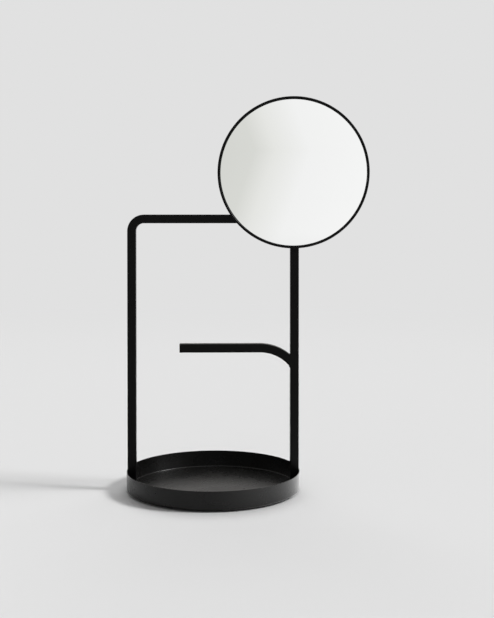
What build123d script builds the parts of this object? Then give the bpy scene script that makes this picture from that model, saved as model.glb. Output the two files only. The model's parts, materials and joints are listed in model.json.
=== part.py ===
from build123d import *
from math import cos, radians, sin, sqrt, tan
import os

# Table vanity mirror: a round mirror on a square-bar stand that rises from a round tray, with a
# short arm for necklaces. Millimetres, +Z up, +Y away from the person who looks in the mirror.
# The origin is on the table, under the centre of the tray.

# Tray, drawn from one sheet, on a soft pad
tray_diameter = 200.0
tray_height = 23.0  # table to rim
tray_sheet = 0.8
tray_corner_radius = 2.0  # outside, between wall and floor
tray_rim_chamfer = 0.25
pad_thickness = 2.2
pad_screw_margin = 1.5  # pad's edge to the leg washers

# Square bar of the stand
bar_side = 10.0
bar_edge_radius = 1.0
leg_wall_gap = 0.1  # leg's corners to the tray's wall
rail_height = 314.0  # centreline of the top rail above the table
rail_bend_radius = 14.0  # centreline
arm_height = 164.5  # centreline above the table
arm_reach = 133.0  # tip to the post's axis
arm_bend_radius = 49.5  # centreline
arm_slope = 52.0  # degrees below level where the arm meets the post
arm_knee_inset = 15.8  # post's axis to where the arm's two straight lines would cross
bar_end_radius = 0.5

# Screws that hold the legs down
leg_screw_diameter = 4.0
leg_screw_length = 12.0
leg_screw_head_diameter = 7.0
leg_screw_head_height = 1.3
leg_screw_socket = 2.5  # across flats
leg_screw_socket_depth = 0.8
leg_washer_diameter = 7.2
leg_washer_thickness = 0.5
tapping_depth_spare = 2.0

# Mirror
mirror_diameter = 173.0
hoop_wall = 2.5
hoop_edge_chamfer = 0.4
glass_recess = 2.5
glass_thickness = 3.0
glass_edge_gap = 0.4
glass_edge_chamfer = 0.3
adhesive_thickness = 1.0
adhesive_inset = 5.0  # inside the glass's edge
back_plate_thickness = 1.5

# Where the mirror stands at rest
pivot_height = 366.5  # tilt axis above the table
mirror_standoff = 18.0  # tilt axis to the back of the mirror
rest_swivel = 7.0  # degrees, turned towards -X
rest_tilt = 2.0  # degrees, leaning back

# Swivel head, which turns in a bush in the post's top end
head_drop = 13.0  # tilt axis to the head's underside
spigot_diameter = 5.0
spigot_length = 14.0
spigot_end_chamfer = 0.5
bush_wall = 1.0
bush_flange_diameter = 9.4
bush_flange_thickness = 0.8
bush_end_space = 1.0  # below the spigot's end
groove_drop = 7.0  # head's underside to the middle of the groove
groove_depth = 0.8
retaining_screw_diameter = 3.0
retaining_point_diameter = 2.0
retaining_screw_inset = 0.2  # below the post's rear face
retaining_screw_socket = 1.5  # across flats
retaining_screw_socket_depth = 0.9
groove_gap = 0.3  # around the screw's point

# Tilt pivot
tilt_bolt_diameter = 4.0
tilt_bolt_head_diameter = 7.5
tilt_bolt_head_height = 2.4
tilt_bolt_head_fillet = 0.8
tilt_bolt_socket = 2.5  # across flats
tilt_bolt_socket_depth = 1.2
tilt_bolt_overrun = 0.8  # past the nut
tilt_nut_flats = 7.0
tilt_nut_height = 3.2
tilt_nut_collar_diameter = 6.2
tilt_nut_collar_height = 1.6
spring_washer_diameter = 8.0
spring_washer_thickness = 0.5
spring_washer_rise = 0.3
friction_washer_diameter = 9.0
friction_washer_thickness = 0.5

# Bracket on the mirror's back
bracket_width = 36.0
bracket_height = 24.0
bracket_corner_radius = 3.0
bracket_sheet = 1.5
bracket_lug_radius = 5.0
bracket_bend_radius = 1.0
rivet_diameter = 3.0
rivet_head_diameter = 5.6
rivet_head_height = 1.0
rivet_tail_diameter = 4.6
rivet_tail_height = 0.7
rivet_spacing_x = 26.0
rivet_spacing_y = 15.0
rivet_foam_gap = 1.0

# Clearances
seat_gap = 0.02  # round pieces that are held still in each other
running_gap = 0.05  # pieces that turn against each other

# Derived sizes
tray_radius = tray_diameter / 2
tray_inner_radius = tray_radius - tray_sheet
floor_top = pad_thickness + tray_sheet
bar_half = bar_side / 2
corner_reach = tray_inner_radius - leg_wall_gap - bar_edge_radius
leg_x = sqrt(corner_reach**2 - (bar_half - bar_edge_radius) ** 2) + bar_edge_radius - bar_half
pad_radius = leg_x - leg_washer_diameter / 2 - pad_screw_margin

hoop_depth = glass_recess + glass_thickness + adhesive_thickness + back_plate_thickness
hoop_inner_radius = mirror_diameter / 2 - hoop_wall
glass_radius = hoop_inner_radius - glass_edge_gap
adhesive_front = mirror_standoff + back_plate_thickness + adhesive_thickness

head_bottom = pivot_height - head_drop
post_top = head_bottom - running_gap - bush_flange_thickness
bush_bore_radius = spigot_diameter / 2 + running_gap
post_bore_radius = bush_bore_radius + bush_wall + seat_gap
bush_length = spigot_length + bush_end_space
groove_radius = spigot_diameter / 2 - groove_depth
groove_height = retaining_point_diameter + 2 * groove_gap
retaining_height = head_bottom - groove_drop

bolt_radius = tilt_bolt_diameter / 2
lug_inner = bar_half + friction_washer_thickness + 2 * running_gap
lug_outer = lug_inner + bracket_sheet
nut_seat = lug_outer + spring_washer_thickness + spring_washer_rise

# Planes that turn with the mirror. tilt_direction points to the mirror's right, facing out of it.
pivot = Vector(leg_x, 0, pivot_height)
turn, lean = radians(rest_swivel), radians(rest_tilt)
tilt_direction = Vector(cos(turn), -sin(turn), 0)
level_facing = Vector(-sin(turn), -cos(turn), 0)
mirror_facing = level_facing * cos(lean) + Vector(0, 0, sin(lean))
mirror_plane = Plane(origin=pivot, x_dir=tilt_direction, z_dir=mirror_facing)
lug_plane = Plane(origin=pivot, x_dir=mirror_facing * -1, z_dir=tilt_direction)
head_plane = Plane(origin=pivot, x_dir=level_facing * -1, z_dir=tilt_direction)
swivel_plane = Plane(origin=Vector(leg_x, 0, head_bottom), x_dir=tilt_direction, z_dir=(0, 0, 1))

leg_centres = [(-leg_x, 0), (leg_x, 0)]


# ---- Tray, pad and leg screws ----

with BuildPart() as tray:
    with BuildSketch(Plane.XY.offset(pad_thickness)):
        Circle(tray_radius)
    extrude(amount=tray_height - pad_thickness)
    fillet(tray.edges().sort_by(Axis.Z)[0], tray_corner_radius)
    offset(amount=-tray_sheet, openings=tray.faces().sort_by(Axis.Z)[-1])
    chamfer(tray.edges().group_by(Axis.Z)[-1], tray_rim_chamfer)
    with BuildSketch(Plane.XY.offset(pad_thickness)):
        with Locations(*leg_centres):
            Circle(leg_screw_diameter / 2 + running_gap)
    extrude(amount=tray_sheet, mode=Mode.SUBTRACT)

with BuildPart() as base_pad:
    with BuildSketch():
        Circle(pad_radius)
    extrude(amount=pad_thickness)

with BuildPart() as leg_washers:
    with BuildSketch(Plane.XY.offset(pad_thickness - leg_washer_thickness)):
        with Locations(*leg_centres):
            Circle(leg_washer_diameter / 2)
            Circle(leg_screw_diameter / 2 + running_gap, mode=Mode.SUBTRACT)
    extrude(amount=leg_washer_thickness)

screw_seat = pad_thickness - leg_washer_thickness
with BuildPart() as leg_screws:
    with BuildSketch(Plane.XY.offset(screw_seat)):
        with Locations(*leg_centres):
            Circle(leg_screw_head_diameter / 2)
    extrude(amount=-leg_screw_head_height)
    with BuildSketch(Plane.XY.offset(screw_seat)):
        with Locations(*leg_centres):
            Circle(leg_screw_diameter / 2)
    extrude(amount=leg_screw_length)
    with BuildSketch(Plane.XY.offset(screw_seat - leg_screw_head_height)):
        with Locations(*leg_centres):
            RegularPolygon(leg_screw_socket / 2, 6, major_radius=False)
    extrude(amount=leg_screw_socket_depth, mode=Mode.SUBTRACT)


# ---- Stand ----

# The room inside the tray, which the legs' feet are dressed to
with BuildPart() as tray_room:
    with BuildSketch(Plane.XY.offset(floor_top)):
        Circle(tray_inner_radius - seat_gap)
    extrude(amount=pivot_height)
    fillet(tray_room.edges().sort_by(Axis.Z)[0], tray_corner_radius - tray_sheet)

# The tapped holes in the legs' feet
with BuildPart() as leg_holes:
    with BuildSketch(Plane.XY.offset(floor_top)):
        with Locations(*leg_centres):
            Circle(leg_screw_diameter / 2 + seat_gap)
    extrude(amount=leg_screw_length - tray_sheet - leg_washer_thickness + tapping_depth_spare)

with BuildPart() as leg_rail:
    with BuildLine() as rail_line:
        FilletPolyline(
            (-leg_x, 0, floor_top),
            (-leg_x, 0, rail_height),
            (leg_x - bar_half, 0, rail_height),
            radius=rail_bend_radius,
        )
    with BuildSketch(Plane(origin=rail_line.line @ 0, x_dir=(1, 0, 0), z_dir=rail_line.line % 0)):
        RectangleRounded(bar_side, bar_side, bar_edge_radius)
    sweep()
    add(tray_room.part, mode=Mode.INTERSECT)
    add(leg_holes.part, mode=Mode.SUBTRACT)

with BuildPart() as mirror_post:
    with BuildSketch(Plane.XY.offset(floor_top)):
        with Locations((leg_x, 0)):
            RectangleRounded(bar_side, bar_side, bar_edge_radius)
    extrude(amount=post_top - floor_top)
    add(tray_room.part, mode=Mode.INTERSECT)
    add(leg_holes.part, mode=Mode.SUBTRACT)
    with BuildSketch(Plane.XY.offset(post_top)):
        with Locations((leg_x, 0)):
            Circle(post_bore_radius)
    extrude(amount=-bush_length, mode=Mode.SUBTRACT)
    with BuildSketch(Plane.XZ.offset(-bar_half)):
        with Locations((leg_x, retaining_height)):
            Circle(retaining_screw_diameter / 2 + seat_gap)
    extrude(amount=bar_half, mode=Mode.SUBTRACT)

knee_x = leg_x - arm_knee_inset
with BuildPart() as jewellery_arm:
    with BuildLine() as arm_line:
        FilletPolyline(
            (leg_x - arm_reach, 0, arm_height),
            (knee_x, 0, arm_height),
            (leg_x, 0, arm_height - arm_knee_inset * tan(radians(arm_slope))),
            radius=arm_bend_radius,
        )
    with BuildSketch(Plane(origin=arm_line.line @ 0, x_dir=(0, 1, 0), z_dir=arm_line.line % 0)):
        RectangleRounded(bar_side, bar_side, bar_edge_radius)
    sweep()
    # The arm's end is cut to lie flat on the post's side.
    split(bisect_by=Plane(origin=(leg_x - bar_half, 0, 0), z_dir=(-1, 0, 0)))
    fillet(jewellery_arm.edges().group_by(Axis.X)[0], bar_end_radius)


# ---- Swivel ----

with BuildPart() as swivel_bush:
    with BuildSketch(Plane.XY.offset(post_top)):
        with Locations((leg_x, 0)):
            Circle(post_bore_radius - seat_gap)
    extrude(amount=-bush_length)
    with BuildSketch(Plane.XY.offset(post_top)):
        with Locations((leg_x, 0)):
            Circle(bush_flange_diameter / 2)
    extrude(amount=bush_flange_thickness)
    with BuildSketch(Plane.XY.offset(post_top + bush_flange_thickness)):
        with Locations((leg_x, 0)):
            Circle(bush_bore_radius)
    extrude(amount=-bush_flange_thickness - bush_length, mode=Mode.SUBTRACT)
    with BuildSketch(Plane.XZ):
        with Locations((leg_x, retaining_height)):
            Circle(retaining_screw_diameter / 2 + seat_gap)
    extrude(amount=-bar_half, mode=Mode.SUBTRACT)

retaining_back = bar_half - retaining_screw_inset
retaining_shoulder = spigot_diameter / 2 + groove_gap
with BuildPart() as retaining_screw:
    with BuildSketch(Plane.XZ.offset(-retaining_back)):
        with Locations((leg_x, retaining_height)):
            Circle(retaining_screw_diameter / 2)
    extrude(amount=retaining_back - retaining_shoulder)
    with BuildSketch(Plane.XZ.offset(-retaining_shoulder)):
        with Locations((leg_x, retaining_height)):
            Circle(retaining_point_diameter / 2)
    extrude(amount=retaining_shoulder - groove_radius - groove_gap)
    with BuildSketch(Plane.XZ.offset(-retaining_back)):
        with Locations((leg_x, retaining_height)):
            RegularPolygon(retaining_screw_socket / 2, 6, major_radius=False)
    extrude(amount=retaining_screw_socket_depth, mode=Mode.SUBTRACT)

with BuildPart() as swivel_head:
    with BuildSketch(head_plane):
        Circle(bar_half)
        Rectangle(bar_side, head_drop, align=(Align.CENTER, Align.MAX))
    extrude(amount=bar_half, both=True)
    fillet(swivel_head.edges().filter_by(Axis.Z), bar_edge_radius)
    with BuildSketch(swivel_plane):
        Circle(spigot_diameter / 2)
    extrude(amount=-spigot_length)
    chamfer(swivel_head.edges().sort_by(Axis.Z)[0], spigot_end_chamfer)
    with BuildSketch(swivel_plane.offset(-groove_drop - groove_height / 2)):
        Circle(spigot_diameter / 2)
        Circle(groove_radius, mode=Mode.SUBTRACT)
    extrude(amount=groove_height, mode=Mode.SUBTRACT)
    with BuildSketch(head_plane):
        Circle(bolt_radius + running_gap)
    extrude(amount=bar_side, both=True, mode=Mode.SUBTRACT)


# ---- Tilt pivot ----

with BuildPart() as tilt_bracket:
    with BuildSketch(mirror_plane.offset(mirror_standoff - bracket_sheet)):
        RectangleRounded(bracket_width, bracket_height, bracket_corner_radius)
        with GridLocations(rivet_spacing_x, rivet_spacing_y, 2, 2):
            Circle(rivet_diameter / 2 + seat_gap, mode=Mode.SUBTRACT)
    extrude(amount=bracket_sheet)
    lug_length = mirror_standoff - bracket_sheet
    for start in (lug_inner, -lug_outer):
        with BuildSketch(lug_plane.offset(start)):
            Circle(bracket_lug_radius)
            Rectangle(lug_length, 2 * bracket_lug_radius, align=(Align.MAX, Align.CENTER))
            Circle(bolt_radius + seat_gap, mode=Mode.SUBTRACT)
        extrude(amount=bracket_sheet)
    bend_edges = (
        tilt_bracket.edges()
        .filter_by(lambda edge: abs(mirror_plane.to_local_coords(edge.center()).Z - lug_length) < seat_gap)
        .filter_by(lambda edge: abs(edge.length - 2 * bracket_lug_radius) < seat_gap)
    )
    fillet(bend_edges, bracket_bend_radius)

with BuildPart() as bracket_rivets:
    with BuildSketch(mirror_plane.offset(mirror_standoff - bracket_sheet)):
        with GridLocations(rivet_spacing_x, rivet_spacing_y, 2, 2):
            Circle(rivet_head_diameter / 2)
    extrude(amount=-rivet_head_height)
    with BuildSketch(mirror_plane.offset(mirror_standoff - bracket_sheet)):
        with GridLocations(rivet_spacing_x, rivet_spacing_y, 2, 2):
            Circle(rivet_diameter / 2)
    extrude(amount=bracket_sheet + back_plate_thickness)
    with BuildSketch(mirror_plane.offset(mirror_standoff + back_plate_thickness)):
        with GridLocations(rivet_spacing_x, rivet_spacing_y, 2, 2):
            Circle(rivet_tail_diameter / 2)
    extrude(amount=rivet_tail_height)

with BuildPart() as friction_washers:
    for start in (bar_half + running_gap, -lug_inner + running_gap):
        with BuildSketch(lug_plane.offset(start)):
            Circle(friction_washer_diameter / 2)
            Circle(bolt_radius + seat_gap, mode=Mode.SUBTRACT)
        extrude(amount=friction_washer_thickness)

with BuildPart() as tilt_bolt:
    bolt_tip = nut_seat + tilt_nut_height + tilt_nut_collar_height + tilt_bolt_overrun
    with BuildSketch(lug_plane.offset(-bolt_tip)):
        Circle(bolt_radius)
    extrude(amount=bolt_tip + lug_outer)
    with BuildSketch(lug_plane.offset(lug_outer)):
        Circle(tilt_bolt_head_diameter / 2)
    extrude(amount=tilt_bolt_head_height)
    head_end = lug_plane.offset(lug_outer + tilt_bolt_head_height)
    fillet(tilt_bolt.faces().sort_by(Axis(pivot, tilt_direction))[-1].edges(), tilt_bolt_head_fillet)
    with BuildSketch(head_end):
        RegularPolygon(tilt_bolt_socket / 2, 6, major_radius=False)
    extrude(amount=-tilt_bolt_socket_depth, mode=Mode.SUBTRACT)

with BuildPart() as spring_washer:
    # A shallow cone: its rim bears on the lug and its bore on the nut.
    with BuildSketch(Plane(origin=pivot, x_dir=tilt_direction * -1, z_dir=mirror_facing)):
        bore = bolt_radius + seat_gap
        rim = spring_washer_diameter / 2
        with BuildLine():
            Polyline(
                (lug_outer, rim),
                (lug_outer + spring_washer_rise, bore),
                (nut_seat, bore),
                (lug_outer + spring_washer_thickness, rim),
                close=True,
            )
        make_face()
    revolve(axis=Axis(pivot, tilt_direction))

with BuildPart() as tilt_nut:
    with BuildSketch(lug_plane.offset(-nut_seat)):
        RegularPolygon(tilt_nut_flats / 2, 6, major_radius=False)
    extrude(amount=-tilt_nut_height)
    with BuildSketch(lug_plane.offset(-nut_seat - tilt_nut_height)):
        Circle(tilt_nut_collar_diameter / 2)
    extrude(amount=-tilt_nut_collar_height)
    with BuildSketch(lug_plane.offset(-nut_seat)):
        Circle(bolt_radius + seat_gap)
    extrude(amount=-tilt_nut_height - tilt_nut_collar_height, mode=Mode.SUBTRACT)


# ---- Mirror ----

with BuildPart() as mirror_hoop:
    with BuildSketch(mirror_plane.offset(mirror_standoff)):
        Circle(mirror_diameter / 2)
        Circle(hoop_inner_radius, mode=Mode.SUBTRACT)
    extrude(amount=hoop_depth)
    chamfer(mirror_hoop.edges().filter_by(GeomType.CIRCLE), hoop_edge_chamfer)

with BuildPart() as back_plate:
    with BuildSketch(mirror_plane.offset(mirror_standoff)):
        Circle(hoop_inner_radius - seat_gap)
        with GridLocations(rivet_spacing_x, rivet_spacing_y, 2, 2):
            Circle(rivet_diameter / 2 + seat_gap, mode=Mode.SUBTRACT)
    extrude(amount=back_plate_thickness)

with BuildPart() as adhesive_pad:
    with BuildSketch(mirror_plane.offset(mirror_standoff + back_plate_thickness)):
        Circle(glass_radius - adhesive_inset)
        with GridLocations(rivet_spacing_x, rivet_spacing_y, 2, 2):
            Circle(rivet_tail_diameter / 2 + rivet_foam_gap, mode=Mode.SUBTRACT)
    extrude(amount=adhesive_thickness)

with BuildPart() as mirror_glass:
    with BuildSketch(mirror_plane.offset(adhesive_front)):
        Circle(glass_radius)
    extrude(amount=glass_thickness)
    chamfer(mirror_glass.edges(), glass_edge_chamfer)


pieces = {
    "tray": tray,
    "base_pad": base_pad,
    "leg_washers": leg_washers,
    "leg_screws": leg_screws,
    "leg_rail": leg_rail,
    "mirror_post": mirror_post,
    "jewellery_arm": jewellery_arm,
    "swivel_bush": swivel_bush,
    "retaining_screw": retaining_screw,
    "swivel_head": swivel_head,
    "tilt_bracket": tilt_bracket,
    "bracket_rivets": bracket_rivets,
    "friction_washers": friction_washers,
    "tilt_bolt": tilt_bolt,
    "spring_washer": spring_washer,
    "tilt_nut": tilt_nut,
    "mirror_hoop": mirror_hoop,
    "back_plate": back_plate,
    "adhesive_pad": adhesive_pad,
    "mirror_glass": mirror_glass,
}

os.makedirs("parts", exist_ok=True)
for name, piece in pieces.items():
    piece.part.label = name
    export_step(piece.part, f"parts/{name}.step")
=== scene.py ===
"""Dresses the table vanity mirror: its coats, glass, foam, welds and threads, and the studio round it.

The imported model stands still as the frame. Lengths here are in metres, in that frame: +Z up, +Y away
from the person who looks in the mirror.
"""

import json
import logging
import math
from collections.abc import Sequence
from dataclasses import dataclass, field
from enum import Enum

import bmesh
import bpy
from mathutils import Matrix, Vector

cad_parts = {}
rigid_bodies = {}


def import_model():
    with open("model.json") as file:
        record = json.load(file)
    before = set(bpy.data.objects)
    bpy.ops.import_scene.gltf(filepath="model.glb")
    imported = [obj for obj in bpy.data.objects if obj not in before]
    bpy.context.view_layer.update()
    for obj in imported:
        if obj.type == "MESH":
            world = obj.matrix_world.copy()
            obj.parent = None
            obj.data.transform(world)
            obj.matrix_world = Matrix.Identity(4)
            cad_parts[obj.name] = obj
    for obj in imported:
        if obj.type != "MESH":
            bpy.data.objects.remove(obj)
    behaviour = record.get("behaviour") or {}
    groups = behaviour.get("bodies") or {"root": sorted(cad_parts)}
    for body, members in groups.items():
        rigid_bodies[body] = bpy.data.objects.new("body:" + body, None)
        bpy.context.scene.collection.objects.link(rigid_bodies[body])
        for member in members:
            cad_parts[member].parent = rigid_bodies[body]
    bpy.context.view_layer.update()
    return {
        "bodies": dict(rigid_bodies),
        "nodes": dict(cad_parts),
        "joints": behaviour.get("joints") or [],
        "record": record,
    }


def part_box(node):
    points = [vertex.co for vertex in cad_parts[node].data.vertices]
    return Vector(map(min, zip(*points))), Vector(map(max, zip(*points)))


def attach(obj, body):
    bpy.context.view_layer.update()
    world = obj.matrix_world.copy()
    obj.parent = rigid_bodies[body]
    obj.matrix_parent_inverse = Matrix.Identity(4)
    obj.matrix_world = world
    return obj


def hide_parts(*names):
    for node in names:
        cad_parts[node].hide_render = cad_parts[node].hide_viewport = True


MM = 0.001
SAME_FACE = 0.01 * MM  # a point this near to a face lies on it
SOLID_CREASE = 30.0  # degrees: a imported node's edges that are sharper stay crisp
CREASE = 32.0  # degrees: the same for a new piece
NOISE_SPAN = (0.3, 0.7)  # most of a noise's values lie in this span

log = logging.getLogger("vanity_mirror")

Colour = tuple[float, float, float]
Direction = tuple[float, float, float]
Span = tuple[float, float]
Shades = tuple[tuple[float, Colour], ...]
Profile = Sequence[tuple[float, float]]
Node = bpy.types.Node
Socket = bpy.types.NodeSocket
Outputs = bpy.types.NodeOutputs


class Slot(Enum):
    """The record's material slots named for the new pieces. The script passes them along but sets none."""

    BLACK_COAT = "black_coat"
    BLACK_SCREW = "black_screw"
    NYLON = "nylon"
    PAD_FOAM = "pad_foam"
    TAPE_FOAM = "tape_foam"


class Body(Enum):
    """The bodies that the new pieces ride on."""

    STAND = "stand"
    MIRROR = "mirror"


# ---- Node trees ----


class Tree:
    """A short way to write a shader node tree."""

    def __init__(self, tree: bpy.types.NodeTree) -> None:
        """Empties the node tree of a material, world or node group."""
        self.tree = tree
        tree.nodes.clear()

    def feed(self, node: Node, inputs: dict[str | int, object]) -> None:
        """Sets a node's inputs.

        Args:
            node: The node.
            inputs: Values or output sockets, by the input's name or number.
        """
        for key, value in inputs.items():
            if isinstance(value, Socket):
                self.tree.links.new(value, node.inputs[key])
            else:
                node.inputs[key].default_value = value

    def add(self, kind: str, inputs: dict[str | int, object] | None = None, **settings: object) -> Node:
        """Adds a node.

        Args:
            kind: The node's type, such as ShaderNodeMath.
            inputs: Values or output sockets for its inputs, by name or number.
            **settings: The node's own settings.

        Returns:
            The new node.
        """
        node = self.tree.nodes.new(kind)
        for name, value in settings.items():
            setattr(node, name, value)
        self.feed(node, inputs or {})
        return node

    def here(self) -> Socket:
        """Adds the shaded point, in the object's own space."""
        return self.add("ShaderNodeTexCoord").outputs["Object"]

    def math(self, operation: str, *terms: object) -> Socket:
        """Adds a Math node and returns its value."""
        return self.add("ShaderNodeMath", dict(enumerate(terms)), operation=operation).outputs[0]

    def vector(self, operation: str, *terms: object, output: str = "Vector") -> Socket:
        """Adds a Vector Math node and returns one of its outputs."""
        node = self.add("ShaderNodeVectorMath", dict(enumerate(terms)), operation=operation)
        return node.outputs[output]

    def dot(self, first: object, second: object) -> Socket:
        """Adds the dot product of two vectors."""
        return self.vector("DOT_PRODUCT", first, second, output="Value")

    def ramp(
        self, value: object, low: object, high: object, start: object = 0.0, end: object = 1.0
    ) -> Socket:
        """Adds a smooth step of a value, from start where it is low to end where it is high."""
        inputs = {"Value": value, "From Min": low, "From Max": high, "To Min": start, "To Max": end}
        return self.add("ShaderNodeMapRange", inputs, interpolation_type="SMOOTHSTEP").outputs["Result"]

    def noise(self, point: object, scale: object, detail: float = 2.0, roughness: float = 0.5) -> Socket:
        """Adds a noise texture and returns its value."""
        inputs = {"Vector": point, "Scale": scale, "Detail": detail, "Roughness": roughness}
        return self.add("ShaderNodeTexNoise", inputs).outputs["Fac"]

    def blend(self, factor: object, first: object, second: object) -> Socket:
        """Mixes two colours or sockets. The factor is the second one's share."""
        ends = [end if isinstance(end, Socket) else rgba(end) for end in (first, second)]
        return self.add("ShaderNodeMix", {0: factor, 6: ends[0], 7: ends[1]}, data_type="RGBA").outputs[2]

    def shades(self, place: object, stops: Shades) -> Socket:
        """Runs through a row of colours.

        Args:
            place: Where along the row, in the stops' own units.
            stops: Places with their colours, in order. The last place is above 0.

        Returns:
            The colour at that place.
        """
        whole = stops[-1][0]
        node = self.add("ShaderNodeValToRGB", {0: self.math("DIVIDE", place, whole)})
        points = node.color_ramp.elements
        for number, (at, colour) in enumerate(stops):
            point = points[number] if number < len(points) else points.new(at / whole)
            point.position = at / whole
            point.color = rgba(colour)
        return node.outputs["Color"]


def rgba(colour: Colour) -> tuple[float, float, float, float]:
    """Adds full alpha to a colour."""
    return (*colour, 1.0)


class Effect:
    """A shader node group, built once and placed in each material that uses it.

    A group's field that ends in span holds the noise's values between which its marks set in.
    """

    made: dict[str, bpy.types.NodeTree] = {}
    name = "effect"
    inputs: dict[str, float] = {}
    outputs: Sequence[str] = ("Mask",)

    @classmethod
    def group(cls) -> bpy.types.NodeTree:
        """Builds the group when it is first asked for.

        Returns:
            The node group.
        """
        if cls.name not in cls.made:
            tree = bpy.data.node_groups.new(cls.name, "ShaderNodeTree")
            for label, value in cls.inputs.items():
                socket = tree.interface.new_socket(label, in_out="INPUT", socket_type="NodeSocketFloat")
                socket.default_value = value
            for label in cls.outputs:
                tree.interface.new_socket(label, in_out="OUTPUT", socket_type="NodeSocketFloat")
            canvas = Tree(tree)
            source = canvas.add("NodeGroupInput")
            target = canvas.add("NodeGroupOutput")
            canvas.feed(target, cls.draw(canvas, source.outputs))
            cls.made[cls.name] = tree
        return cls.made[cls.name]

    @classmethod
    def draw(cls, canvas: Tree, given: Outputs) -> dict[str, Socket]:
        """Draws the group's nodes from its inputs and returns the socket for each output."""
        raise NotImplementedError

    @classmethod
    def place(cls, canvas: Tree, **values: object) -> Outputs:
        """Places the group in a material.

        Args:
            canvas: The material's tree.
            **values: The group's inputs, with spaces in their names as underscores.

        Returns:
            The outputs, by name.
        """
        node = canvas.add("ShaderNodeGroup", node_tree=cls.group())
        canvas.feed(node, {label.replace("_", " "): value for label, value in values.items()})
        return node.outputs


class EdgeRub(Effect):
    """Where hands and cloths polish a coat: along its outer edges, unevenly.

    Attributes:
        turns: Where the rub starts and is full, as 1 less the cosine of the rounded normal's turn.
    """

    name = "edge_rub"
    inputs = {"Width": 0.6 * MM, "Patch Scale": 60.0, "Amount": 1.0}
    turns: Span = (0.01, 0.16)
    patch_span: Span = (0.38, 0.72)

    @classmethod
    def draw(cls, canvas: Tree, given: Outputs) -> dict[str, Socket]:
        """Compares a rounded normal with the true one, and breaks the result up with noise.

        Args:
            canvas: The group's tree.
            given: Its inputs.

        Returns:
            The mask.
        """
        rounded = canvas.add("ShaderNodeBevel", {"Radius": given["Width"]}, samples=4).outputs["Normal"]
        true = canvas.add("ShaderNodeNewGeometry").outputs["Normal"]
        edge = canvas.ramp(canvas.math("SUBTRACT", 1.0, canvas.dot(rounded, true)), *cls.turns)
        cloud = canvas.noise(canvas.here(), given["Patch Scale"], detail=4.0, roughness=0.65)
        rub = canvas.math("MULTIPLY", edge, canvas.ramp(cloud, *cls.patch_span))
        return {"Mask": canvas.math("MULTIPLY", rub, given["Amount"])}


class FineGrain(Effect):
    """A sprayed or moulded skin: soft ripples with a fine grain on them."""

    name = "fine_grain"
    inputs = {"Ripple Scale": 420.0, "Grain Scale": 2600.0, "Grain Share": 0.35}
    outputs = ("Height", "Mottle")
    mottle_share = 0.06  # of the ripples' scale

    @classmethod
    def draw(cls, canvas: Tree, given: Outputs) -> dict[str, Socket]:
        """Adds two noises for the height, and a broad third for the mottle.

        Args:
            canvas: The group's tree.
            given: Its inputs.

        Returns:
            The height and the mottle.
        """
        place = canvas.here()
        ripple = canvas.noise(place, given["Ripple Scale"], detail=1.5)
        grain = canvas.noise(place, given["Grain Scale"], detail=3.0, roughness=0.6)
        height = canvas.math("MULTIPLY_ADD", grain, given["Grain Share"], ripple)
        broad = canvas.math("MULTIPLY", given["Ripple Scale"], cls.mottle_share)
        return {"Height": height, "Mottle": canvas.noise(place, broad, detail=4.0, roughness=0.6)}


class SettledDust(Effect):
    """A thin film of dust on what faces up.

    Attributes:
        facing_up: The upward share of the normal where dust starts to lie and where it lies fully.
        thinnest: What is left of the film where it is thinnest.
        film_share: How much a full film covers. A fleck covers all.
    """

    name = "settled_dust"
    inputs = {"Amount": 0.5, "Fleck Scale": 900.0}
    facing_up: Span = (0.35, 0.95)
    film_scale = 30.0
    film_span: Span = (0.3, 0.8)
    thinnest = 0.35
    film_share = 0.5
    fleck_span: Span = (0.68, 0.76)

    @classmethod
    def draw(cls, canvas: Tree, given: Outputs) -> dict[str, Socket]:
        """Takes the upward share of the normal, with cloudy film and small flecks.

        Args:
            canvas: The group's tree.
            given: Its inputs.

        Returns:
            The mask.
        """
        normal = canvas.add("ShaderNodeNewGeometry").outputs["Normal"]
        up = canvas.ramp(canvas.dot(normal, (0.0, 0.0, 1.0)), *cls.facing_up)
        place = canvas.here()
        cloud = canvas.noise(place, cls.film_scale, detail=5.0, roughness=0.6)
        film = canvas.ramp(cloud, *cls.film_span, cls.thinnest, 1.0)
        fleck = canvas.ramp(canvas.noise(place, given["Fleck Scale"]), *cls.fleck_span)
        cover = canvas.math("MAXIMUM", canvas.math("MULTIPLY", film, cls.film_share), fleck)
        return {"Mask": canvas.math("MULTIPLY", canvas.math("MULTIPLY", cover, up), given["Amount"])}


class DrawnLines(Effect):
    """Fine tool lines round a turned or pressed piece."""

    name = "drawn_lines"
    inputs = {"Line Scale": 3200.0, "Stretch": 0.04}
    outputs = ("Height",)

    @classmethod
    def draw(cls, canvas: Tree, given: Outputs) -> dict[str, Socket]:
        """Stretches noise along one direction.

        Args:
            canvas: The group's tree.
            given: Its inputs.

        Returns:
            The height.
        """
        parts = canvas.add("ShaderNodeSeparateXYZ", {0: canvas.here()}).outputs
        slow = canvas.math("MULTIPLY", parts[1], given["Stretch"])
        drawn = canvas.add("ShaderNodeCombineXYZ", {0: parts[0], 1: slow, 2: parts[2]}).outputs[0]
        return {"Height": canvas.noise(drawn, given["Line Scale"], detail=3.0, roughness=0.7)}


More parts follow.
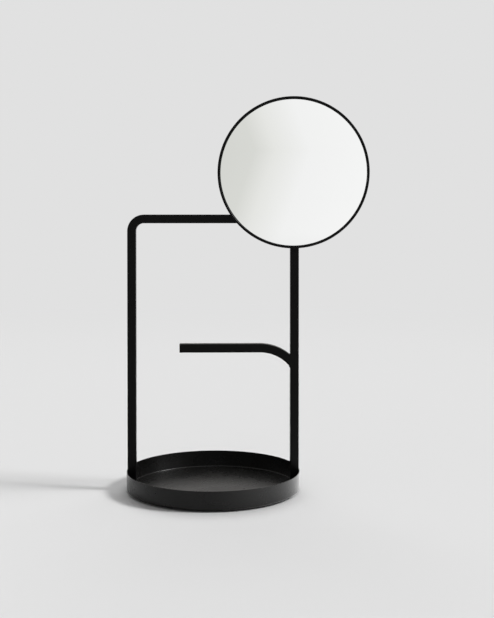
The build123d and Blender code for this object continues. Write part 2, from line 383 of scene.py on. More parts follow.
class FoamCells(Effect):
    """Small closed cells of a cut foam."""

    name = "foam_cells"
    inputs = {"Cell Scale": 2200.0}
    outputs = ("Height", "Mottle")
    mottle_share = 0.05  # of the cells' scale

    @classmethod
    def draw(cls, canvas: Tree, given: Outputs) -> dict[str, Socket]:
        """Takes the distance to the nearest cell's middle.

        Args:
            canvas: The group's tree.
            given: Its inputs.

        Returns:
            The height and the mottle.
        """
        place = canvas.here()
        cells = canvas.add("ShaderNodeTexVoronoi", {"Vector": place, "Scale": given["Cell Scale"]})
        broad = canvas.math("MULTIPLY", given["Cell Scale"], cls.mottle_share)
        return {"Height": cells.outputs["Distance"], "Mottle": canvas.noise(place, broad, detail=3.0)}


class WipeMarks(Effect):
    """The faint arcs and specks that a cloth leaves on glass.

    Attributes:
        bend: How far the arcs bend.
        squeeze: How much narrower than long they are.
    """

    name = "wipe_marks"
    inputs = {"Arc Scale": 55.0}
    bend_scale = 9.0
    bend = 0.08
    squeeze = 12.0
    arc_span: Span = (0.5, 0.85)
    speck_scale = 1500.0
    speck_span: Span = (0.76, 0.8)

    @classmethod
    def draw(cls, canvas: Tree, given: Outputs) -> dict[str, Socket]:
        """Bends stretched noise into arcs and adds specks.

        Args:
            canvas: The group's tree.
            given: Its inputs.

        Returns:
            The mask.
        """
        place = canvas.here()
        sway = canvas.noise(place, cls.bend_scale, detail=1.0)
        parts = canvas.add("ShaderNodeSeparateXYZ", {0: place}).outputs
        slant = canvas.math("MULTIPLY_ADD", sway, cls.bend, canvas.math("ADD", parts[0], parts[2]))
        across = canvas.math("MULTIPLY", slant, cls.squeeze)
        drawn = canvas.add("ShaderNodeCombineXYZ", {0: across, 1: parts[2]}).outputs[0]
        streaks = canvas.noise(drawn, given["Arc Scale"], detail=3.0, roughness=0.6)
        specks = canvas.noise(place, cls.speck_scale, detail=1.0)
        arcs = canvas.ramp(streaks, *cls.arc_span)
        return {"Mask": canvas.math("MAXIMUM", arcs, canvas.ramp(specks, *cls.speck_span))}


# ---- Finishes ----


@dataclass(frozen=True)
class Finish:
    """What every finish has: a name, a colour and how rough it is.

    In the finishes, deepest is the deepest shade as a share of the colour, uneven is how far the
    roughness strays, shine is the shader's specular level, and depth and strength are the bump's.
    """

    name: str
    colour: Colour
    roughness: float

    def material(self) -> bpy.types.Material:
        """Builds the material when it is first asked for.

        Returns:
            The material.
        """
        found = bpy.data.materials.get(self.name)
        if found:
            return found
        made = bpy.data.materials.new(self.name)
        made.use_nodes = True
        made.diffuse_color = rgba(self.colour)
        canvas = Tree(made.node_tree)
        plain = {"Base Color": rgba(self.colour), "Roughness": self.roughness}
        shader = canvas.add("ShaderNodeBsdfPrincipled", plain)
        canvas.add("ShaderNodeOutputMaterial", {"Surface": shader.outputs["BSDF"]})
        self.dress(canvas, shader)
        return made

    def dress(self, canvas: Tree, shader: Node) -> None:
        """Adds the finish's own detail to a material's tree and its Principled BSDF."""
        raise NotImplementedError

    def shade(self, share: float) -> Colour:
        """Makes the finish's colour darker or lighter, up to white."""
        return tuple(min(1.0, share * part) for part in self.colour)

    def clouded(self, canvas: Tree, noise: Socket, deepest: float) -> Socket:
        """Clouds the finish's colour with its deepest shade."""
        return canvas.blend(canvas.ramp(noise, *NOISE_SPAN), self.shade(deepest), self.colour)

    @staticmethod
    def bump(canvas: Tree, shader: Node, height: object, depth: float, strength: float) -> None:
        """Feeds a height to the shader's normal. A height of 1 is as deep as depth, in metres."""
        inputs = {"Height": height, "Distance": depth, "Strength": strength}
        canvas.feed(shader, {"Normal": canvas.add("ShaderNodeBump", inputs).outputs["Normal"]})


@dataclass(frozen=True)
class PowderCoat(Finish):
    """Satin black powder coat, a little polished on its edges.

    Attributes:
        rub_share: How much of the rubbed colour shows where the rub is full.
        rub_polish: How much smoother the coat is there.
        dust_roughness: How much rougher it is under full dust.
    """

    shine: float
    dust_amount: float
    rubbed: Colour = (0.03, 0.029, 0.027)
    rub_share: float = 0.3
    rub_polish: float = 0.08
    dust: Colour = (0.16, 0.15, 0.135)
    dust_roughness: float = 0.3
    deepest: float = 0.75
    uneven: float = 0.04
    uneven_span: Span = (0.25, 0.75)
    ripple: float = 420.0
    grain: float = 2520.0
    depth: float = 0.03 * MM
    strength: float = 0.35

    def dress(self, canvas: Tree, shader: Node) -> None:
        """Mottles the coat, rubs its edges and lets a little dust settle on it.

        Args:
            canvas: The material's tree.
            shader: Its Principled BSDF.
        """
        skin = FineGrain.place(canvas, Ripple_Scale=self.ripple, Grain_Scale=self.grain)
        rub = EdgeRub.place(canvas)["Mask"]
        dust = SettledDust.place(canvas, Amount=self.dust_amount)["Mask"]
        coat = self.clouded(canvas, skin["Mottle"], self.deepest)
        coat = canvas.blend(canvas.math("MULTIPLY", rub, self.rub_share), coat, self.rubbed)
        coat = canvas.blend(dust, coat, self.dust)
        smoothest, roughest = self.roughness - self.uneven, self.roughness + self.uneven
        rough = canvas.ramp(skin["Mottle"], *self.uneven_span, smoothest, roughest)
        rough = canvas.math("SUBTRACT", rough, canvas.math("MULTIPLY", rub, self.rub_polish))
        rough = canvas.math("ADD", rough, canvas.math("MULTIPLY", dust, self.dust_roughness))
        canvas.feed(shader, {"Base Color": coat, "Roughness": rough, "Specular IOR Level": self.shine})
        self.bump(canvas, shader, skin["Height"], self.depth, self.strength)


@dataclass(frozen=True)
class TreatedSteel(Finish):
    """Bare or thinly treated steel, brighter where it is rubbed."""

    worn: Colour = (0.5, 0.5, 0.51)
    wear: float = 0.5
    deepest: float = 0.7
    uneven: float = 0.07
    depth: float = 0.01 * MM
    strength: float = 0.25

    def dress(self, canvas: Tree, shader: Node) -> None:
        """Draws tool lines and wears the edges.

        Args:
            canvas: The material's tree.
            shader: Its Principled BSDF.
        """
        lines = DrawnLines.place(canvas)["Height"]
        rub = EdgeRub.place(canvas, Width=0.25 * MM, Patch_Scale=400.0, Amount=self.wear)["Mask"]
        mottle = FineGrain.place(canvas, Ripple_Scale=1500.0)["Mottle"]
        skin = canvas.blend(rub, self.clouded(canvas, mottle, self.deepest), self.worn)
        rough = canvas.ramp(lines, *NOISE_SPAN, self.roughness - self.uneven, self.roughness + self.uneven)
        canvas.feed(shader, {"Base Color": skin, "Roughness": rough, "Metallic": 1.0})
        self.bump(canvas, shader, lines, self.depth, self.strength)


@dataclass(frozen=True)
class MouldedNylon(Finish):
    """Moulded nylon with a faint grain, lighter where it is scuffed."""

    scuffed: float = 2.2
    uneven: float = 0.05
    depth: float = 0.02 * MM
    strength: float = 0.4

    def dress(self, canvas: Tree, shader: Node) -> None:
        """Grains the skin and scuffs its edges.

        Args:
            canvas: The material's tree.
            shader: Its Principled BSDF.
        """
        skin = FineGrain.place(canvas, Ripple_Scale=900.0, Grain_Scale=5200.0, Grain_Share=0.6)
        scuff = EdgeRub.place(canvas, Width=0.3 * MM, Patch_Scale=300.0, Amount=0.5)["Mask"]
        colour = canvas.blend(scuff, self.colour, self.shade(self.scuffed))
        smoothest, roughest = self.roughness - self.uneven, self.roughness + self.uneven
        rough = canvas.ramp(skin["Mottle"], *NOISE_SPAN, smoothest, roughest)
        canvas.feed(shader, {"Base Color": colour, "Roughness": rough})
        self.bump(canvas, shader, skin["Height"], self.depth, self.strength)


@dataclass(frozen=True)
class ClosedFoam(Finish):
    """Cut closed-cell foam, with painted shade in its cells' pits.

    Attributes:
        pit_shade_span: The distance from a cell's middle over which the painted shade in its pit fades
            out.
        pit_shade_share: How much of the deepest shade is painted into a pit's middle.
    """

    cell: float = 2200.0
    deepest: float = 0.6
    pit_shade_span: Span = (0.0, 0.5)
    pit_shade_share: float = 0.5
    uneven: float = 0.05
    shine: float = 0.2
    depth: float = 0.12 * MM
    strength: float = 0.7

    def dress(self, canvas: Tree, shader: Node) -> None:
        """Pits the foam with cells, paints shade into the pits and clouds its colour.

        Args:
            canvas: The material's tree.
            shader: Its Principled BSDF.
        """
        cells = FoamCells.place(canvas, Cell_Scale=self.cell)
        # Painted shade: each cell's pit is darkened in colour, where shade would fall in the hollow.
        painted_pit_shade = canvas.ramp(cells["Height"], *self.pit_shade_span, self.pit_shade_share, 0.0)
        cloud = self.clouded(canvas, cells["Mottle"], self.deepest)
        cloud = canvas.blend(painted_pit_shade, cloud, self.shade(self.deepest))
        rough = canvas.ramp(cells["Mottle"], *NOISE_SPAN, self.roughness - self.uneven, self.roughness)
        canvas.feed(shader, {"Base Color": cloud, "Roughness": rough, "Specular IOR Level": self.shine})
        self.bump(canvas, shader, cells["Height"], self.depth, self.strength)


@dataclass(frozen=True)
class Silvered(Finish):
    """Silvered glass: a clean mirror with a ground, greenish edge.

    Attributes:
        centre: The glass's middle.
        axis: The direction that it faces.
        radius: Its radius.
        edge_blur: How softly the ground edge starts, as a share of its width.
        film: How bright the glass is under a cloth's marks, as a share.
        film_roughness: How much rougher it is there.
    """

    centre: Direction
    axis: Direction
    radius: float
    edge_width: float = 0.3 * MM
    edge_blur: float = 0.1
    edge_colour: Colour = (0.33, 0.4, 0.37)
    edge_roughness: float = 0.35
    edge_metal: float = 0.6
    film: float = 0.985
    film_roughness: float = 0.02

    def dress(self, canvas: Tree, shader: Node) -> None:
        """Marks the glass faintly and dulls the ground edge.

        Args:
            canvas: The material's tree.
            shader: Its Principled BSDF.
        """
        offset = canvas.vector("SUBTRACT", canvas.here(), self.centre)
        along = canvas.dot(offset, self.axis)
        reach = canvas.dot(offset, offset)
        out = canvas.math("SQRT", canvas.math("SUBTRACT", reach, canvas.math("MULTIPLY", along, along)))
        start, blur = self.radius - self.edge_width, self.edge_width * self.edge_blur
        edge = canvas.ramp(out, start - blur, start + blur)
        marks = WipeMarks.place(canvas)["Mask"]
        face = canvas.blend(marks, self.colour, self.shade(self.film))
        rough = canvas.math("MULTIPLY_ADD", marks, self.film_roughness, self.roughness)
        rough = canvas.math("MULTIPLY_ADD", edge, self.edge_roughness, rough)
        metal = canvas.ramp(edge, 0.0, 1.0, 1.0, self.edge_metal)
        colour = canvas.blend(edge, face, self.edge_colour)
        canvas.feed(shader, {"Base Color": colour, "Roughness": rough, "Metallic": metal})


# The first three values are the name, the colour and the roughness.
COAT = PowderCoat("satin_black_coat", (0.0032, 0.0031, 0.003), 0.32, shine=0.08, dust_amount=0.02)
TRAY_COAT = PowderCoat("tray_black_coat", (0.0042, 0.0041, 0.0038), 0.27, shine=0.24, dust_amount=0.03)
BLACK_SCREW = TreatedSteel("black_screw_steel", (0.035, 0.035, 0.037), 0.38, worn=(0.28, 0.28, 0.29))
ZINC = TreatedSteel("zinc_steel", (0.6, 0.61, 0.62), 0.3, worn=(0.75, 0.75, 0.76), wear=0.3)
NYLON = MouldedNylon("black_nylon", (0.025, 0.025, 0.026), 0.48)
NATURAL_NYLON = MouldedNylon("natural_nylon", (0.55, 0.54, 0.48), 0.45)
PAD_FOAM = ClosedFoam("pad_foam", (0.022, 0.022, 0.022), 0.95)
TAPE_FOAM = ClosedFoam("tape_foam", (0.6, 0.6, 0.57), 0.9, cell=3600.0)


# ---- Meshes ----


@dataclass(frozen=True)
class Ring:
    """One ring of points of a turned piece, by its place on the axis and its radius."""

    along: float
    radius: float


def link_mesh(name: str, mesh: bpy.types.Mesh, crease: float = CREASE) -> bpy.types.Object:
    """Puts a mesh in the scene with smooth shading up to an angle.

    Args:
        name: The object's name.
        mesh: The mesh.
        crease: Edges sharper than this, in degrees, stay crisp.

    Returns:
        The new object.
    """
    piece = bpy.data.objects.new(name, mesh)
    bpy.context.scene.collection.objects.link(piece)
    mesh.shade_smooth()
    mesh.set_sharp_from_angle(angle=math.radians(crease))
    return piece


def skinned(
    name: str,
    loops: Sequence[Sequence[Vector]],
    closed: bool = False,
    capped: bool = False,
    crease: float = CREASE,
) -> bpy.types.Object:
    """Joins loops of points into a skin.

    Args:
        name: The piece's name.
        loops: The loops in order. A loop of one point closes an end.
        closed: Whether the last loop joins the first.
        capped: Whether the first and the last loop get a face each.
        crease: Edges sharper than this, in degrees, stay crisp.

    Returns:
        The new object.
    """
    mesh = bpy.data.meshes.new(name)
    work = bmesh.new()
    rows = [[work.verts.new(point) for point in loop] for loop in loops]
    pairs = list(zip(rows, rows[1:])) + ([(rows[-1], rows[0])] if closed else [])
    for first, second in pairs:
        count = max(len(first), len(second))
        for number in range(count):
            following = (number + 1) % count
            if len(first) == 1:
                corners = [first[0], second[following], second[number]]
            elif len(second) == 1:
                corners = [first[number], first[following], second[0]]
            else:
                corners = [first[number], first[following], second[following], second[number]]
            work.faces.new(corners)
    if capped:
        work.faces.new(rows[0])
        work.faces.new(rows[-1])
    bmesh.ops.recalc_face_normals(work, faces=work.faces)
    work.to_mesh(mesh)
    work.free()
    return link_mesh(name, mesh, crease)


def turned(
    name: str, rings: Sequence[Ring], frame: Matrix, segments: int, closed: bool = False
) -> bpy.types.Object:
    """Builds a turned piece from its rings, about the Z axis of a frame.

    Args:
        name: The piece's name.
        rings: The rings in order. A ring with no radius closes the end.
        frame: The piece's own frame.
        segments: How many points a ring has.
        closed: Whether the last ring joins the first, as on a hollow piece.

    Returns:
        The new object.
    """
    loops = []
    for ring in rings:
        turns = [math.tau * number / segments for number in range(segments if ring.radius > 0.0 else 1)]
        loops.append([
            frame @ Vector((ring.radius * math.cos(angle), ring.radius * math.sin(angle), ring.along))
            for angle in turns
        ])
    return skinned(name, loops, closed)


def rounded_profile(radius: float, low: float, high: float, edge: float, steps: int = 5) -> list[Ring]:
    """Lists the rings of a disc whose two rims are rounded.

    Args:
        radius: The disc's radius.
        low: Its lower face.
        high: Its upper face.
        edge: The rims' radius.
        steps: How many rings a rim has.

    Returns:
        The rings from the lower face's middle to the upper face's.
    """
    shares = (0.0, 0.35, 0.7, 0.9)
    turns = [math.pi / 2 * step / steps for step in range(steps + 1)]
    rim = [(edge * (1 - math.cos(turn)), radius - edge * (1 - math.sin(turn))) for turn in turns]
    disc = [(0.0, radius * share) for share in shares] + rim
    lower = [Ring(low + rise, out) for rise, out in disc]
    return lower + [Ring(high - rise, out) for rise, out in reversed(disc)]


# ---- Pieces ----


@dataclass
class Part:
    """What the sub-assemblies share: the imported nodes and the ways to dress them."""

    nodes: dict[str, bpy.types.Object]

    def coat(self, finish: Finish, *names: str) -> None:
        """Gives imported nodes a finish.

        Args:
            finish: The finish.
            *names: The nodes' names.
        """
        for name in names:
            mesh = self.nodes[name].data
            mesh.materials.clear()
            mesh.materials.append(finish.material())
            mesh.shade_smooth()
            mesh.set_sharp_from_angle(angle=math.radians(SOLID_CREASE))
            log.info("finished %s with %s", name, finish.name)

    def keep(self, piece: bpy.types.Object, body: Body, slot: Slot, finish: Finish) -> None:
        """Finishes a new piece and sets it on its body.

        Args:
            piece: The piece.
            body: The body that it moves with.
            slot: The record's slot for its finish. It is not used.
            finish: The finish.
        """
        piece.data.materials.append(finish.material())
        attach(piece, body.value)
        log.info("made %s on %s", piece.name, body.value)


@dataclass
class TrayBase(Part):
    """The tray, the pad under it and what holds the legs down."""

    pad_edge: float = 0.6 * MM
    pad_segments: int = 128

    def dress(self) -> None:
        """Coats the tray and its fasteners."""
        self.coat(TRAY_COAT, "tray")
        self.coat(ZINC, "leg_washers")
        self.coat(BLACK_SCREW, "leg_screws")

    def make_pad(self) -> None:
        """Builds the pad with its die-cut edge."""
        low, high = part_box("base_pad")
        rings = rounded_profile(high.x, low.z, high.z, self.pad_edge)
        pad = turned("pad", rings, Matrix.Identity(4), self.pad_segments)
        self.keep(pad, Body.STAND, Slot.PAD_FOAM, PAD_FOAM)
        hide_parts("base_pad")


@dataclass
class WeldBead:
    """A dressed weld round a square bar's end, where it meets the post's side.

    Attributes:
        name: The piece's name.
        face_x: The post's face.
        low: The bar's lowest point on that face.
        high: Its highest.
        half_depth: Half the bar's depth along Y.
        corner: The bar's edge radius.
        throat: The bead's width above and below the bar.
        toe: How thick the fillet's thin edges are.
        hollow: The fillet's inner points, as shares of its width.
        flush_rise: How far the bead stands proud at the sides, where bar and post are flush.
        groove: How far it reaches over the post there.
        overlap: How far it reaches over the bar there, as a share of the throat.
        crown: The share of the groove that it covers at its full rise.
        ripple: The share of the width by which it swells.
    """

    name: str
    face_x: float
    low: float
    high: float
    half_depth: float
    corner: float
    throat: float = 1.1 * MM
    toe: float = 0.02 * MM
    hollow: Span = (0.3, 0.42)
    flush_rise: float = 0.05 * MM
    groove: float = 0.95 * MM
    overlap: float = 0.35
    crown: float = 0.6
    sink: float = 0.8 * MM
    ripple: float = 0.06
    ripple_pitch: float = 0.9 * MM
    step: float = 0.3 * MM
    corner_steps: int = 6
    crease: float = 60.0

    def outline(self) -> list[tuple[Vector, Vector]]:
        """Walks round the bar's end.

        Returns:
            Points on the post's face, each with the direction that points out of the bar.
        """
        middle = (self.low + self.high) / 2
        straight_y = self.half_depth - self.corner
        straight_z = (self.high - self.low) / 2 - self.corner
        corners = ((1, 1), (-1, 1), (-1, -1), (1, -1))
        found = []
        for number, (side_y, side_z) in enumerate(corners):
            centre = Vector((0.0, side_y * straight_y, side_z * straight_z))
            for step in range(self.corner_steps + 1):
                angle = math.pi / 2 * (number + step / self.corner_steps)
                out = Vector((0.0, math.cos(angle), math.sin(angle)))
                found.append((centre + out * self.corner, out))
            next_y, next_z = corners[(number + 1) % 4]
            end = Vector((0.0, next_y * straight_y, next_z * straight_z)) + out * self.corner
            start = found[-1][0]
            count = max(1, int((end - start).length / self.step))
            found += [(start.lerp(end, share / count), out) for share in range(1, count)]
        return [(point + Vector((self.face_x, 0.0, middle)), out) for point, out in found]

    def section(self, flat: float, swell: float) -> Profile:
        """Shapes the bead's section.

        Args:
            flat: 1 where bar and post are flush and the bead fills a groove, 0 where it is a fillet.
            swell: The ripple's share of the width.

        Returns:
            Points as (distance along the bar from the post, distance out of the bar).
        """
        width = self.throat * (1 + swell)
        near, far = (width * share for share in self.hollow)
        fillet = (
            (-self.sink, -self.sink),
            (-self.sink, width),
            (self.toe, width),
            (near, far),
            (far, near),
            (width, self.toe),
            (width, -self.sink),
        )
        rise = self.flush_rise * (1 + swell)
        fill = (
            (-self.groove, -self.sink),
            (-self.groove, -self.sink / 2),
            (-self.groove, 0.0),
            (-self.groove * self.crown, rise),
            (0.0, rise),
            (self.throat * self.overlap, 0.0),
            (self.throat * self.overlap, -self.sink),
        )
        return [
            tuple(first + (second - first) * flat for first, second in zip(one, other))
            for one, other in zip(fillet, fill)
        ]

    def build(self) -> bpy.types.Object:
        """Sweeps the section round the outline.

        Returns:
            The bead.
        """
        loops = []
        walked = 0.0
        last = None
        for point, out in self.outline():
            walked += (point - last).length if last is not None else 0.0
            last = point
            swell = self.ripple * math.sin(math.tau * walked / self.ripple_pitch)
            section = self.section(out.y**2, swell)
            loops.append([point + Vector((-along, 0.0, 0.0)) + out * away for along, away in section])
        return skinned(self.name, loops, closed=True, crease=self.crease)


@dataclass
class Stand(Part):
    """The legs, the rail and the arm, with the welds that join them."""

    bar_corner: float = 1.0 * MM

    def dress(self) -> None:
        """Coats the bars."""
        self.coat(COAT, "leg_rail", "mirror_post", "jewellery_arm")

    def end_on_post(self, name: str) -> tuple[float, float, float, float]:
        """Measures where a bar meets the post.

        Args:
            name: The bar's node.

        Returns:
            The post's face, the bar's lowest and highest point on it, and half the bar's depth.
        """
        points = [vertex.co for vertex in self.nodes[name].data.vertices]
        face = max(point.x for point in points)
        end = [point for point in points if face - point.x < SAME_FACE]
        heights = [point.z for point in end]
        return face, min(heights), max(heights), max(point.y for point in end)

    def make_welds(self) -> None:
        """Builds the two welds."""
        for name, bar in (("rail_weld", "leg_rail"), ("arm_weld", "jewellery_arm")):
            face, low, high, half_depth = self.end_on_post(bar)
            bead = WeldBead(name, face, low, high, half_depth, self.bar_corner).build()
            self.keep(bead, Body.STAND, Slot.BLACK_COAT, COAT)


@dataclass
class Pivot(Part):
    """The swivel and the tilt pivot behind the mirror.

    Attributes:
        nut_side: The direction from the tilt bolt's head to its nut.
        thread_start: How far from the bolt's tip the thread starts, in pitches.
        thread_root: Half the thread's width at its root, in pitches.
        thread_crest: Half its width at its crest, in pitches.
        insert_shoulder: How high its rounded rims bend, as a share of the insert's rise.
    """

    nut_side: Vector
    bolt_radius: float = 2.0 * MM
    thread_pitch: float = 0.7 * MM
    thread_rise: float = 0.09 * MM
    thread_start: float = 0.3
    thread_root: float = 0.28
    thread_crest: float = 0.06
    thread_segments: int = 40
    insert_radius: float = 2.75 * MM
    insert_rise: float = 0.18 * MM
    insert_sink: float = 0.4 * MM
    insert_shoulder: float = 0.6
    insert_segments: int = 64

    def dress(self) -> None:
        """Finishes the pivot's pieces."""
        self.coat(NYLON, "swivel_bush", "friction_washers")
        self.coat(BLACK_SCREW, "retaining_screw", "bracket_rivets", "tilt_bolt", "tilt_nut")
        self.coat(COAT, "swivel_head", "tilt_bracket")
        self.coat(ZINC, "spring_washer")

    def nut_end(self, name: str) -> Vector:
        """Finds the middle of a piece's end face on the nut's side.

        Args:
            name: The piece's node.

        Returns:
            The face's middle.
        """
        points = [vertex.co for vertex in self.nodes[name].data.vertices]
        reach = max(point.dot(self.nut_side) for point in points)
        end = [point for point in points if reach - point.dot(self.nut_side) < SAME_FACE]
        return sum(end, Vector()) / len(end)

    def frame_at(self, place: Vector) -> Matrix:
        """Turns a frame's Z axis towards the nut's side."""
        return Matrix.Translation(place) @ self.nut_side.to_track_quat("Z", "Y").to_matrix().to_4x4()

    def make_insert(self) -> None:
        """Builds the nylon ring that locks the nut, where it shows round the bolt."""
        bore, rim, rise = self.bolt_radius, self.insert_radius, self.insert_rise
        shoulder = rise * self.insert_shoulder
        rings = [
            Ring(-self.insert_sink, bore),
            Ring(-self.insert_sink, rim),
            Ring(0.0, rim),
            Ring(shoulder, rim - rise + shoulder),
            Ring(rise, rim - rise),
            Ring(rise, bore + rise / 2),
            Ring(shoulder, bore),
        ]
        frame = self.frame_at(self.nut_end("tilt_nut"))
        insert = turned("lock_insert", rings, frame, self.insert_segments, closed=True)
        self.keep(insert, Body.MIRROR, Slot.NYLON, NATURAL_NYLON)

    def make_thread(self) -> None:
        """Winds a thread from near the bolt's tip into the nut. It rises over its first radian."""
        tip = self.nut_end("tilt_bolt")
        length = (tip - self.nut_end("tilt_nut")).length + self.thread_pitch / 2
        frame = self.frame_at(tip)
        steps = int(length / self.thread_pitch * self.thread_segments)
        loops = []
        for number in range(steps + 1):
            angle = math.tau * number / self.thread_segments
            along = -self.thread_pitch * (self.thread_start + number / self.thread_segments)
            loops.append([
                frame @ Vector((reach * math.cos(angle), reach * math.sin(angle), along + shift))
                for shift, reach in self.thread_section(min(1.0, angle))
            ])
        thread = skinned("bolt_thread", loops, capped=True)
        self.keep(thread, Body.MIRROR, Slot.BLACK_SCREW, BLACK_SCREW)

    def thread_section(self, share: float) -> Profile:
        """Shapes the thread's section.

        Args:
            share: How far the crest has risen, from 0 to 1.

        Returns:
            Points as (distance along the bolt, distance from its axis).
        """
        root, crest = self.thread_pitch * self.thread_root, self.thread_pitch * self.thread_crest
        low = self.bolt_radius - self.thread_rise
        high = self.bolt_radius + self.thread_rise * share
        return (root, low), (crest, high), (-crest, high), (-root, low)


@dataclass
class MirrorHead(Part):
    """The hoop, the plate, the foam sheet and the glass.

    Attributes:
        facing: The direction that the glass faces.
        centre: The glass's middle.
        radius: Its radius.
        front_share: The least forward share of a normal on the glass's front.
    """

    facing: Vector = field(init=False)
    centre: Vector = field(init=False)
    radius: float = field(init=False)
    front_share: float = 0.9
    silver: Colour = (0.965, 0.97, 0.965)
    polish: float = 0.004
    foam_edge: float = 0.15 * MM

    def __post_init__(self) -> None:
        """Finds the glass's middle, direction and radius in its node."""
        glass = self.nodes["mirror_glass"].data
        front = [face for face in glass.polygons if face.normal.y < -self.front_share]
        self.facing = sum((face.normal * face.area for face in front), Vector()).normalized()
        low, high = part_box("mirror_glass")
        self.centre = (low + high) / 2
        offsets = [vertex.co - self.centre for vertex in glass.vertices]
        self.radius = max((offset - self.facing * offset.dot(self.facing)).length for offset in offsets)

    def dress(self) -> None:
        """Finishes the hoop, the plate and the glass."""
        self.coat(COAT, "mirror_hoop", "back_plate")
        centre, axis = tuple(self.centre), tuple(self.facing)
        glass = Silvered("silvered_glass", self.silver, self.polish, centre, axis, self.radius)
        self.coat(glass, "mirror_glass")

    def make_foam(self) -> None:
        """Builds the foam sheet from the room that its node holds, with softened edges."""
        mesh = self.nodes["adhesive_pad"].data.copy()
        mesh.materials.clear()
        foam = link_mesh("foam_tape", mesh)
        bevel = foam.modifiers.new("softened", "BEVEL")
        bevel.width = self.foam_edge
        bevel.segments = 2
        bevel.limit_method = "ANGLE"
        self.keep(foam, Body.MIRROR, Slot.TAPE_FOAM, TAPE_FOAM)
        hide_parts("adhesive_pad")


# ---- Studio ----


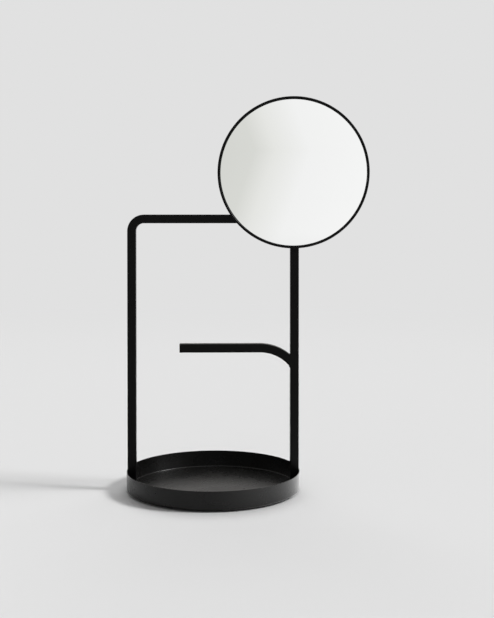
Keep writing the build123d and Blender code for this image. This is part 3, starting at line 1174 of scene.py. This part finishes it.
@dataclass(frozen=True)
class Studio:
    """The floor, the light and the camera.

    Attributes:
        camera_down: How far the camera looks down, in radians.
        camera_right: How far it looks to the right, in radians.
        lens_above_middle: How far the lens's axis lies above the picture's middle, in pixels.
        floor_fade: The distances over which the floor turns into the backdrop.
        soft_from: Where the broad soft light comes from.
        soft_spread: The cosines between which it comes in, as in back_spread and panel_spread.
        back_from: Where the softbox behind the object hangs.
        panel_from: Where the bright panel hangs that mirror and coat show.
        key_turn: How far forward of the stand's plane the key light stands, in degrees.
        key_spread: How wide it looks, in degrees.
        painted_sheen_side: Where along X the painted sheen sets in, a glow on the paper that only
            reflections show, in place of the key light's pool of light.
        dim_place: The X and Z of the direction in which the room in the mirror is dimmest.
        dim_spread: How much a step up or down counts beside one to the side.
        horizon: The Z of the direction up to which the room keeps some of the floor's colour.
        far_side: What reflections show of the backdrop.
        room: The room's colours, by the distance from its dimmest place.
    """

    camera_place: Direction = (0.0110, -1.2959, 0.3328)
    camera_down: float = 0.0181
    camera_right: float = 0.0217
    focal_pixels: float = 1120.0
    picture_height: int = 618
    lens_above_middle: float = 86.1
    sensor: float = 36.0
    pale: Colour = (0.753, 0.753, 0.753)
    floor_radius: float = 6.0
    floor_segments: int = 96
    floor_gap: float = 0.02 * MM
    floor_fade: Span = (0.9, 2.2)
    world_level: float = 0.16
    soft_level: float = 0.17
    soft_from: Direction = (-0.4, -0.4, 0.825)
    soft_spread: Span = (0.1, 0.95)
    back_level: float = 2.6
    back_from: Direction = (0.08, 0.638, 0.766)
    back_spread: Span = (0.848, 0.985)
    key_level: float = 0.45
    key_height: float = 42.0
    key_turn: float = 7.0
    key_spread: float = 15.0
    # The three sheen values paint a glow on the floor near the tray, seen only in reflections: a painted
    # sheen that stands in for the key light's pool of light.
    painted_sheen_level: float = 2.3
    painted_sheen_side: Span = (-0.02, 0.2)
    painted_sheen_fade: Span = (0.17, 0.32)
    dim_place: tuple[float, float] = (-0.239, 0.116)
    dim_spread: float = 0.35
    horizon: float = 0.045
    far_side: Colour = (0.63, 0.615, 0.6)
    far_side_turn: Span = (0.0, 0.3)
    panel_level: float = 3.5
    panel_from: Direction = (0.873, -0.4, 0.28)
    panel_spread: Span = (0.915, 0.985)
    room: Shades = (
        (0.0, (0.68, 0.685, 0.655)),
        (0.026, (0.7, 0.705, 0.675)),
        (0.044, (0.81, 0.812, 0.79)),
        (0.075, (0.91, 0.91, 0.91)),
        (0.13, (0.94, 0.94, 0.94)),
    )

    def make_camera(self) -> None:
        """Sets the camera where the picture was taken from."""
        data = bpy.data.cameras.new("camera")
        data.sensor_width = self.sensor
        data.lens = self.sensor * self.focal_pixels / self.picture_height
        data.shift_y = -self.lens_above_middle / self.picture_height
        camera = bpy.data.objects.new("camera", data)
        camera.location = self.camera_place
        camera.rotation_euler = (math.pi / 2 - self.camera_down, 0.0, -self.camera_right)
        bpy.context.scene.collection.objects.link(camera)
        bpy.context.scene.camera = camera

    def make_floor(self) -> None:
        """Lays the floor."""
        rings = [Ring(-self.floor_gap, 0.0), Ring(-self.floor_gap, self.floor_radius)]
        floor = turned("floor", rings, Matrix.Identity(4), self.floor_segments)
        floor.data.materials.append(self.paper())

    def paper(self) -> bpy.types.Material:
        """Makes the floor's paper, which turns into the backdrop's plain colour far away, with a painted
        sheen.

        Returns:
            The material.
        """
        made = bpy.data.materials.new("floor_paper")
        made.use_nodes = True
        canvas = Tree(made.node_tree)
        place = canvas.add("ShaderNodeNewGeometry").outputs["Position"]
        distance = canvas.vector("LENGTH", place, output="Value")
        rays = canvas.add("ShaderNodeLightPath").outputs
        seen = canvas.math("MAXIMUM", rays["Is Camera Ray"], rays["Is Glossy Ray"])
        seen = canvas.math("MAXIMUM", seen, rays["Is Transmission Ray"])
        share = canvas.math("MULTIPLY", canvas.ramp(distance, *self.floor_fade), seen)
        matt = canvas.add("ShaderNodeBsdfDiffuse", {"Color": rgba(self.pale)}).outputs[0]
        plain = canvas.add("ShaderNodeEmission", {"Color": rgba(self.pale), "Strength": 1.0}).outputs[0]
        surface = canvas.add("ShaderNodeMixShader", {0: share, 1: matt, 2: plain}).outputs[0]
        # Painted sheen: the paper right of the tray glows for glossy rays only, standing in for the key
        # light's pool of light in reflections.
        sideways = canvas.add("ShaderNodeSeparateXYZ", {0: place}).outputs[0]
        near = canvas.ramp(distance, *self.painted_sheen_fade, 1.0, 0.0)
        painted_sheen = canvas.math("MULTIPLY", canvas.ramp(sideways, *self.painted_sheen_side), near)
        painted_sheen = canvas.math("MULTIPLY", painted_sheen, rays["Is Glossy Ray"])
        painted_sheen = canvas.math("MULTIPLY", painted_sheen, self.painted_sheen_level)
        painted_glow = canvas.add("ShaderNodeEmission", {"Color": rgba(self.pale), "Strength": painted_sheen}).outputs[0]
        surface = canvas.add("ShaderNodeAddShader", {0: surface, 1: painted_glow}).outputs[0]
        canvas.add("ShaderNodeOutputMaterial", {"Surface": surface})
        return made

    def soft_light(self, canvas: Tree, way: Socket) -> Socket:
        """Draws the light that falls on matt things.

        Args:
            canvas: The world's tree.
            way: The direction that is looked in.

        Returns:
            The light's colour.
        """
        above = canvas.dot(way, self.soft_from)
        brightest = self.world_level + self.soft_level
        level = canvas.ramp(above, *self.soft_spread, self.world_level, brightest)
        behind = canvas.dot(way, self.back_from)
        level = canvas.math("ADD", level, canvas.ramp(behind, *self.back_spread, 0.0, self.back_level))
        return canvas.add("ShaderNodeCombineColor", {0: level, 1: level, 2: level}).outputs[0]

    def shown_room(self, canvas: Tree, way: Socket) -> Socket:
        """Draws the room that the mirror and the coat show.

        Args:
            canvas: The world's tree.
            way: The direction that is looked in.

        Returns:
            The room's colour.
        """
        parts = canvas.add("ShaderNodeSeparateXYZ", {0: way}).outputs
        beside = canvas.math("SUBTRACT", parts[0], self.dim_place[0])
        height = canvas.math("ABSOLUTE", canvas.math("SUBTRACT", parts[2], self.dim_place[1]))
        room = canvas.shades(canvas.math("MULTIPLY_ADD", height, self.dim_spread, beside), self.room)
        room = canvas.blend(canvas.ramp(parts[1], *self.far_side_turn), room, self.far_side)
        room = canvas.blend(canvas.ramp(parts[2], 0.0, self.horizon), self.pale, room)
        panel = canvas.ramp(canvas.dot(way, self.panel_from), *self.panel_spread, 0.0, self.panel_level)
        return canvas.vector("ADD", room, panel)

    def make_world(self) -> None:
        """Lights the object evenly and shows the pale studio behind it and in its mirror."""
        world = bpy.data.worlds.new("studio")
        world.use_nodes = True
        bpy.context.scene.world = world
        canvas = Tree(world.node_tree)
        rays = canvas.add("ShaderNodeLightPath").outputs
        way = canvas.add("ShaderNodeTexCoord").outputs["Generated"]
        plain = canvas.blend(rays["Is Camera Ray"], self.soft_light(canvas, way), self.pale)
        shown = canvas.math("MAXIMUM", rays["Is Glossy Ray"], rays["Is Transmission Ray"])
        colour = canvas.blend(shown, plain, self.shown_room(canvas, way))
        background = canvas.add("ShaderNodeBackground", {"Color": colour, "Strength": 1.0}).outputs[0]
        canvas.add("ShaderNodeOutputWorld", {"Surface": background})

    def make_key(self) -> None:
        """Adds the soft key light from the right, nearly in the stand's own plane."""
        data = bpy.data.lights.new("key", "SUN")
        height = math.radians(self.key_height)
        data.energy = self.key_level * math.pi / math.sin(height)
        data.angle = math.radians(self.key_spread)
        key = bpy.data.objects.new("key", data)
        key.rotation_euler = (0.0, math.pi / 2 - height, -math.radians(self.key_turn))
        bpy.context.scene.collection.objects.link(key)

    def build(self) -> None:
        """Builds the studio."""
        bpy.context.scene.view_settings.view_transform = "Standard"
        self.make_camera()
        self.make_floor()
        self.make_world()
        self.make_key()


def main() -> None:
    """Dresses the object piece by piece."""
    logging.basicConfig(level=logging.INFO, format="%(name)s: %(message)s")
    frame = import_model()
    nodes = frame["nodes"]
    Studio().build()
    base = TrayBase(nodes)
    base.dress()
    base.make_pad()
    stand = Stand(nodes)
    stand.dress()
    stand.make_welds()
    mirror = MirrorHead(nodes)
    mirror.dress()
    mirror.make_foam()
    axes = {joint["name"]: Vector(joint["axis"]) for joint in frame["joints"]}
    pivot = Pivot(nodes, axes["mirror_tilt"])
    pivot.dress()
    pivot.make_insert()
    pivot.make_thread()


if __name__ == "__main__":
    main()
